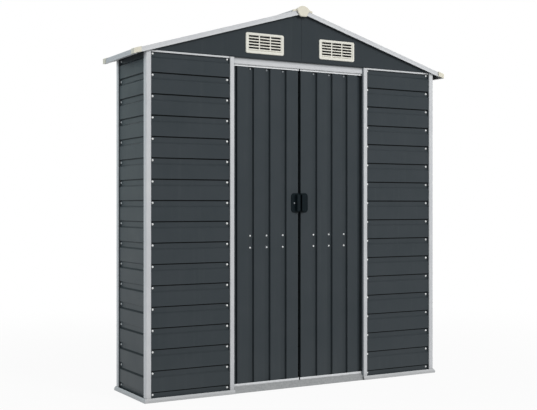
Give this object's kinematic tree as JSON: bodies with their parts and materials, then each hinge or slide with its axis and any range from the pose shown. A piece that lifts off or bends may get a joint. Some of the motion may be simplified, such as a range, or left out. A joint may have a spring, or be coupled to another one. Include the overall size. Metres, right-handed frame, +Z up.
{
  "type": "metal storage shed",
  "caption": "Shallow steel storage shed with board-profile walls, a low gable roof, louvred gable vents and sliding double doors.",
  "frame": {"origin": "centre of the footprint, on the ground", "axes": "+X to the right along the front, +Y from the front to the back, +Z up"},
  "size_m": [1.888, 0.431, 1.9905],
  "materials": {
    "anthracite_sheet": "satin",
    "light_grey_steel": "satin",
    "galvanised_steel": "satin",
    "cream_plastic": "matte",
    "black_plastic": "matte"
  },
  "bodies": {
    "shed": {"base_front_left_rail": "light_grey_steel", "base_front_right_rail": "light_grey_steel", "base_left_rail": "light_grey_steel", "base_right_rail": "light_grey_steel", "base_back_rail": "light_grey_steel", "door_sill": "galvanised_steel", "bottom_track": "galvanised_steel", "front_left_corner_post": "light_grey_steel", "front_right_corner_post": "light_grey_steel", "back_left_corner_post": "light_grey_steel", "back_right_corner_post": "light_grey_steel", "left_door_post": "light_grey_steel", "right_door_post": "light_grey_steel", "back_middle_post": "light_grey_steel", "front_left_wall": "anthracite_sheet", "front_right_wall": "anthracite_sheet", "back_left_wall": "anthracite_sheet", "back_right_wall": "anthracite_sheet", "left_wall": "anthracite_sheet", "right_wall": "anthracite_sheet", "front_top_rails": "light_grey_steel", "back_top_rails": "light_grey_steel", "side_top_rails": "light_grey_steel", "door_header": "light_grey_steel", "top_track": "galvanised_steel", "front_left_gable": "anthracite_sheet", "front_right_gable": "anthracite_sheet", "back_left_gable": "anthracite_sheet", "back_right_gable": "anthracite_sheet", "front_vents": "cream_plastic", "back_vents": "cream_plastic", "left_roof_panel": "anthracite_sheet", "right_roof_panel": "anthracite_sheet", "front_verge_trims": "light_grey_steel", "back_verge_trims": "light_grey_steel", "eave_trims": "light_grey_steel", "roof_corner_caps": "cream_plastic", "ridge_beam": "galvanised_steel", "ridge_cover": "light_grey_steel", "ridge_end_caps": "cream_plastic"},
    "left_door": {"left_door_panel": "anthracite_sheet", "left_door_channels": "light_grey_steel", "left_door_brace": "galvanised_steel", "left_door_handle": "black_plastic", "left_door_runners": "black_plastic"},
    "right_door": {"right_door_panel": "anthracite_sheet", "right_door_channels": "light_grey_steel", "right_door_brace": "galvanised_steel", "right_door_handle": "black_plastic", "right_door_runners": "black_plastic"}
  },
  "joints": [
    {"name": "left_door_slide", "type": "slide", "parent": "shed", "child": "left_door", "axis": [-1, 0, 0], "range_m": [0, 0.335]},
    {"name": "right_door_slide", "type": "slide", "parent": "shed", "child": "right_door", "axis": [1, 0, 0], "range_m": [0, 0.335]}
  ]
}
